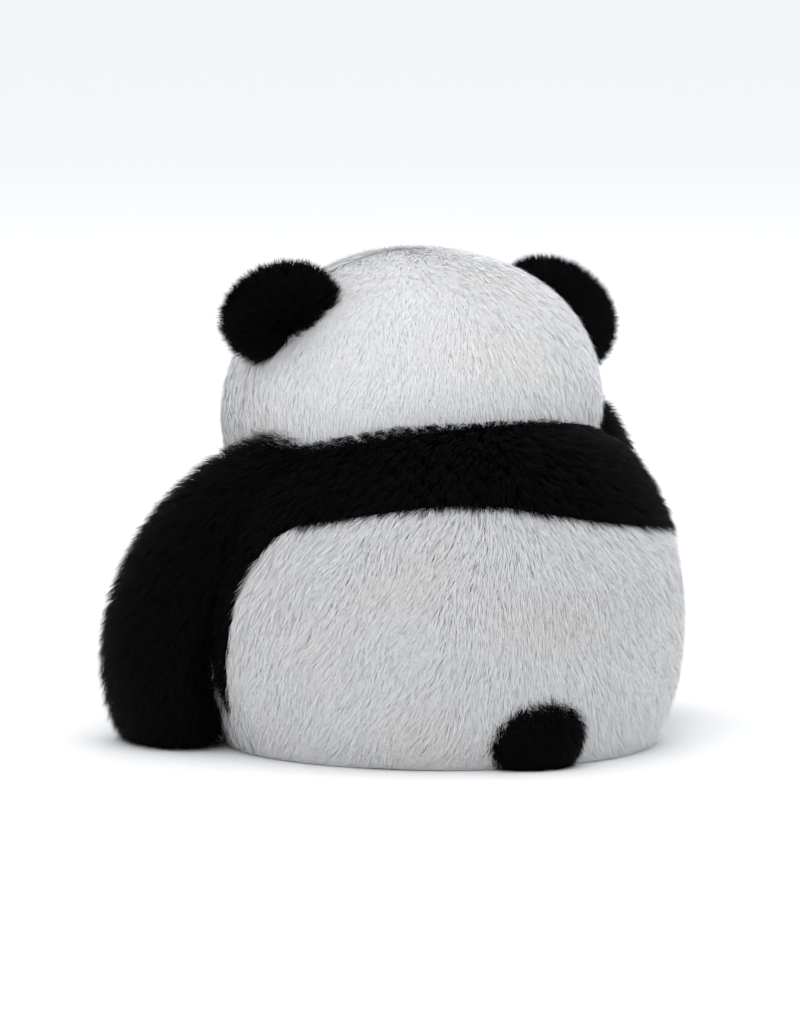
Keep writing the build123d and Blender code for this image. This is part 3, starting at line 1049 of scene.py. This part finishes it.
def keep_head(points):
    """Roots that the torso doesn't cover."""
    return outside_torso(points) > -4 * MM


def keep_face(points):
    """Roots outside the eye patches and the muzzle."""
    shown = keep_head(points) & ~in_eye_patch(points, 0.5 * MM)
    return shown & (outside_muzzle(points) > -0.02)


HEAD_TUFT = (6 * MM, 0.12)
grow_coat("head_back_coat", head_back_patch, 114000, "head", WHITE, head_flow,
          head_length, head_lift, FINE_FIBRE, HEAD_TUFT, keep_head, seed=21)
grow_coat("face_coat", face_patch, 62000, "head", WHITE, face_flow, face_length,
          face_lift, FINE_FIBRE, HEAD_TUFT, keep_face, seed=22)


# %% Eye patches: black ovals let into the face
def eye_patch(side):
    def patch(s, t):
        turn = 2 * math.pi * s
        wide = PATCH_SIZE[0] * t * np.cos(turn)
        tall = PATCH_SIZE[1] * t * np.sin(turn)
        x = PATCH_MIDDLE[0] + wide * math.cos(PATCH_LEAN) - tall * math.sin(PATCH_LEAN)
        z = PATCH_MIDDLE[2] + wide * math.sin(PATCH_LEAN) + tall * math.cos(PATCH_LEAN)
        y = EYE[1] * np.ones_like(x)
        for _ in range(6):
            gap = outside_head(stack(x, y, z), 0.4 * MM)
            y = y + gap
        return stack(side * x, y, z)

    return patch


def from_eye(root, normal):
    """Straight away from the eye."""
    offset = root - np.array([math.copysign(EYE[0], root[0, 0]), EYE[1], EYE[2]])
    return offset + np.array([0, 0, -0.004])


EYE_RIM = 8.6 * MM
NOSE_RIM = 10.5 * MM


def clear_of_eye(points):
    gap = np.hypot(np.abs(points[:, 0]) - EYE[0], points[:, 2] - EYE[2])
    return (gap > EYE_RIM) & (outside_muzzle(points) > 0.12)


for side, word in ((1, "left"), (-1, "right")):
    padded_panel(f"eye_patch_ground_{word}", eye_patch(side), (48, 12), 1.5 * MM, "head",
                 BLACK_GROUND, "black_fur", [f"eye_patch_{word}"], fill=0.3)
    grow_coat(f"eye_patch_coat_{word}", eye_patch(side), 7000, "head", BLACK, from_eye,
              8 * MM, (0.5, 0.1), 0.45 * MM, (4 * MM, 0.3), clear_of_eye, seed=31)


# %% Muzzle: a short-haired dome
def muzzle_patch(s, t):
    """Front half of an oval ball, from its tip to its widest ring."""
    turn = 2 * math.pi * s
    open_angle = t * math.pi / 2
    ring = np.sin(open_angle)
    way = stack(ring * np.cos(turn), -np.cos(open_angle) + 0 * turn, ring * np.sin(turn))
    return MUZZLE_CENTRE + way * MUZZLE_SIZE


def from_nose(root, normal):
    """Out from the tip of the muzzle, below the nose."""
    offset = root - np.array([0, root[:, 1].min(), 0.206])
    return stack(offset[:, 0], offset[:, 1], offset[:, 2] - 0.006)


MOUTH_LOW, MOUTH_HIGH = (np.array(corner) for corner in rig.box("mouth_stitching"))


def muzzle_length(root):
    """Trimmed very short round the stitched mouth, so that the stitches show."""
    past = np.maximum(MOUTH_LOW - root, root - MOUTH_HIGH)[:, [0, 2]].max(axis=1)
    return (1.2 + 3.3 * np.clip(past / (4 * MM), 0, 1)) * MM


def keep_muzzle(points):
    nose_low, nose_high = (np.array(corner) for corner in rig.box("nose"))
    middle = (nose_low + nose_high) / 2
    gap = np.hypot(points[:, 0], points[:, 2] - middle[2])
    return (gap > NOSE_RIM) & (outside_head(points) > -2 * MM)


padded_panel("muzzle_padding", muzzle_patch, (72, 24), 3 * MM, "head", WHITE_GROUND,
             "white_fur", ["muzzle_panel", "muzzle_filling"])
grow_coat("muzzle_coat", muzzle_patch, 18000, "head", WHITE, from_nose, muzzle_length,
          (0.7, 0.3), 0.35 * MM, (3 * MM, 0.25), keep_muzzle, seed=33)

# %% [markdown]
# ## Ears, arms, legs and tail
# Each is a small stuffed body of its own with a longer, wilder black coat, so its
# outline breaks into spikes. The two ears are not quite mirror images, and nor are the
# two arms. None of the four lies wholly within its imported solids: the arms start further
# in and higher, under the yoke and the head, and the ears are thicker and turned.


# %% Ears
ear_hinge = np.array(joints["ear_bend_left"]["pos_m"], dtype=float)


def ear_shape(shift, seam, size):
    """Oval pillow over the left ear's seam: half sizes along the seam, through and up.
    Its middle is 5 mm out from the hinge plus a shift, and it leans out from the
    head's centre.
    Returns the surface, its middle and the direction it rises in."""
    seam = unit(np.array(seam))
    shifted = ear_hinge + np.array(shift) * MM
    rise = unit(shifted - HEAD_CENTRE)
    rise = unit(rise - seam * (rise @ seam))
    middle = shifted + 5 * MM * rise
    along, through, tall = (value * MM for value in size)

    def surface(s, t):
        turn, angle = 2 * math.pi * s, math.pi * t
        parts = (
            (along * np.sin(angle) * np.cos(turn), seam),
            (through * np.sin(angle) * np.sin(turn), np.cross(seam, rise)),
            (tall * np.cos(angle), rise),
        )
        return middle + sum(amount[..., None] * axis for amount, axis in parts)

    return surface, middle, rise


EARS = {
    1: ear_shape((5, 2, 3), (-0.80, 0.42, 0.42), (31, 12, 29)),
    -1: ear_shape((-5, -8, -10), (-0.83, 0.08, 0.55), (38, 12, 27)),
}


def mirrored(surface, side):
    """The same surface on the toy's right when side is -1."""
    flip = np.array([side, 1, 1])
    return lambda s, t: surface(s, t) * flip


def keep_ear(points):
    """Roots that the head doesn't cover."""
    return outside_head(points) > -5 * MM


for side, word in ((1, "left"), (-1, "right")):
    surface, middle, rise = EARS[side]
    patch = mirrored(surface, side)
    padded_panel(f"ear_padding_{word}", patch, (64, 32), 0, f"ear_{word}", BLACK_GROUND,
                 "black_fur", [f"ear_back_panel_{word}", f"ear_front_panel_{word}",
                               f"ear_filling_{word}"])

    def ear_flow(root, normal, side=side, middle=middle, rise=rise):
        flip = np.array([side, 1, 1])
        return unit(root - middle * flip) + 0.4 * rise * flip

    grow_coat(f"ear_coat_{word}", patch, 18000, f"ear_{word}", BLACK, ear_flow, 16 * MM,
              (1.0, 0.5), 0.5 * MM, (6 * MM, 0.55), keep_ear, seed=41)

# %% Arms
ARMS = {
    1: limb((98, 16, 196), (198, -98, 116), (162, -58, -3), (22, 32), (33, 54), 3.3),
    -1: limb((98, 8, 210), (176, -108, 130), (155, -78, -3), (22, 34), (36, 54), 3.3),
}


def limb_patch(surface):
    """The same surface as a function of two numbers from 0 to 1."""
    return lambda s, t: surface(2 * math.pi * s, t)


def arm_flow(root, normal):
    """Down the arm and a little forwards and out."""
    return stack(0.35 * np.sign(root[:, 0]), -0.35 + 0 * root[:, 0], -1 + 0 * root[:, 0])


def keep_limb(points):
    """Roots outside the torso and off the floor."""
    return (outside_torso(points) > -6 * MM) & (points[:, 2] > 2.5 * MM)


for side, word in ((1, "left"), (-1, "right")):
    patch = mirrored(limb_patch(ARMS[side]), side)
    padded_panel(f"arm_padding_{word}", patch, (60, 48), 0, f"arm_{word}", BLACK_GROUND,
                 "black_fur", [f"arm_skin_{word}", f"arm_filling_{word}"])
    grow_coat(f"arm_coat_{word}", patch, 42000, f"arm_{word}", BLACK, arm_flow, 19 * MM,
              (1.0, 0.5), 0.6 * MM, (8 * MM, 0.55), keep_limb, seed=51)

# %% Legs
leg_low, leg_high = (np.array(corner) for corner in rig.box("leg_skin_left"))
LEG_X = (leg_low[0] + leg_high[0]) / 2
SOLE_Y = leg_low[1]
leg_along = np.array([-90, -120, -150, -168, -182, -194, -202, -206]) * MM
leg_radii = np.array([30, 34, 35.5, 38, 43, 44, 40.5, 33]) * MM
leg_middles = np.array([38, 36, 36, 39, 43, 44.5, 44.5, 44.5]) * MM


def leg(turn, t):
    """Circles about a line along Y: their radius and height follow smooth curves."""
    knots = np.linspace(0, 1, len(leg_along))
    fine = np.linspace(0, 1, 200)
    blur = np.hanning(31) / np.hanning(31).sum()

    def follow(values):
        dense = np.interp(fine, knots, values)
        padded = np.pad(dense, 15, mode="edge")
        return np.interp(t, fine, np.convolve(padded, blur, mode="valid"))

    radius = follow(leg_radii)
    y = np.interp(t, knots, leg_along)
    z = follow(leg_middles) + radius * np.sin(turn)
    return settled(stack(LEG_X + radius * np.cos(turn), y, z), softness=5 * MM)


def sole_patch(s, t):
    """Slightly domed round sole."""
    radius = 33 * MM * t
    turn = 2 * math.pi * s
    dome = 2.2 * MM * (1 - t**2)
    return stack(LEG_X + radius * np.cos(turn), SOLE_Y - dome - 0.6 * MM,
                 44.5 * MM + radius * np.sin(turn))


def leg_flow(root, normal):
    """Towards the foot, and outwards at the sole's edge."""
    return stack(0 * root[:, 0], -1 + 0 * root[:, 0], -0.35 + 0 * root[:, 0])


for side, word in ((1, "left"), (-1, "right")):
    patch = mirrored(limb_patch(leg), side)
    padded_panel(f"leg_padding_{word}", patch, (56, 44), 3 * MM, f"leg_{word}",
                 BLACK_GROUND, "black_fur", [f"leg_skin_{word}", f"leg_filling_{word}"])
    padded_panel(f"sole_padding_{word}", mirrored(sole_patch, side), (64, 12), 3 * MM,
                 f"leg_{word}", SOLE_GROUND, "short_pile", [f"sole_pad_{word}"], fill=0.5)
    grow_coat(f"sole_coat_{word}", mirrored(sole_patch, side), 5000, f"leg_{word}", SOLE,
              leg_flow, 3 * MM, (1.3, 1.0), 0.5 * MM, (4 * MM, 0.1), seed=62)
    grow_coat(f"leg_coat_{word}", patch, 20000, f"leg_{word}", BLACK, leg_flow, 13 * MM,
              (0.95, 0.35), 0.6 * MM, (7 * MM, 0.4), keep_limb, seed=61)

# %% Tail
TAIL_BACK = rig.box("tail_skin")[1][1]
TAIL_RADII = np.array([29, 22, 25]) * MM
TAIL_CENTRE = np.array([-2 * MM, TAIL_BACK - 23 * MM, 23 * MM])


def tail_patch(s, t):
    """Oval ball that rests on the floor behind the torso."""
    turn = 2 * math.pi * s
    angle = math.pi * t
    way = stack(np.sin(angle) * np.cos(turn), np.sin(angle) * np.sin(turn), np.cos(angle))
    return settled(TAIL_CENTRE + TAIL_RADII * way, softness=4 * MM)


def tail_flow(root, normal):
    """Away from a point high inside the tail, and a little downwards."""
    offset = root - np.array([0, TAIL_BACK - 30 * MM, 34 * MM])
    return offset * np.array([1.2, 1, 1]) - np.array([0, 0, 0.01])


padded_panel("tail_padding", tail_patch, (48, 32), 0, "tail", BLACK_GROUND, "black_fur",
             ["tail_skin", "tail_filling"])
grow_coat("tail_coat", tail_patch, 12000, "tail", BLACK, tail_flow, 14 * MM, (0.9, 0.35),
          0.6 * MM, (6 * MM, 0.45), keep_limb, seed=71)

# %% [markdown]
# ## Hard fittings and what is inside
# The eyes and the nose are moulded plastic with a high polish. The stuffing, the washers
# and the pellet pouch are out of sight, but each still gets its own plain finish.


# %% Finishes for the moulded and hidden pieces
def moulded(name, colour, roughness, speckle, **constant):
    """Moulded plastic: a faint mottle in its colour."""
    dark = tuple(0.8 * value for value in colour)
    return ground_material(name, dark, colour, roughness, speckle, 60, 0.03, **constant)


GLOSS = moulded("polished_black", (0.004, 0.004, 0.004), 0.18, 300, Specular_IOR_Level=0.25)
WASHER = moulded("washer_plastic", (0.75, 0.75, 0.73), 0.5, 300)
FIBREFILL = ground_material("fibrefill", (0.7, 0.7, 0.68), (0.9, 0.9, 0.88), 0.95, 400, 40, 0.6)
THREAD = ground_material("stitch_thread", (0.01, 0.01, 0.011), (0.03, 0.03, 0.032), 0.6,
                         2500, 200, 0.6)
POUCH = ground_material("pouch_cloth", (0.6, 0.58, 0.53), (0.8, 0.78, 0.72), 0.9, 1200, 60, 0.4)
PELLET = ground_material("pellets", (0.7, 0.7, 0.68), (0.88, 0.88, 0.86), 0.5, 350, 90, 0.8)
finishes = {"black_plastic": GLOSS, "washer_plastic": WASHER, "filling": FIBREFILL,
            "thread": THREAD, "pouch_cloth": POUCH, "pellets": PELLET}
for entry in frame["record"]["subparts"]:
    finish = finishes.get(entry["material_slot"])
    if finish:
        node = frame["nodes"][entry["node"]]
        node.data.materials.clear()
        node.data.materials.append(finish)
print("finished fittings:", sorted(finishes))

# %% Write the two boxes and finish
print("fibres in all", sum(coats.values()))
json.dump([cad_box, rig.bounds()], open("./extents.json", "w"),
          default=lambda value: [float(v) for v in value])
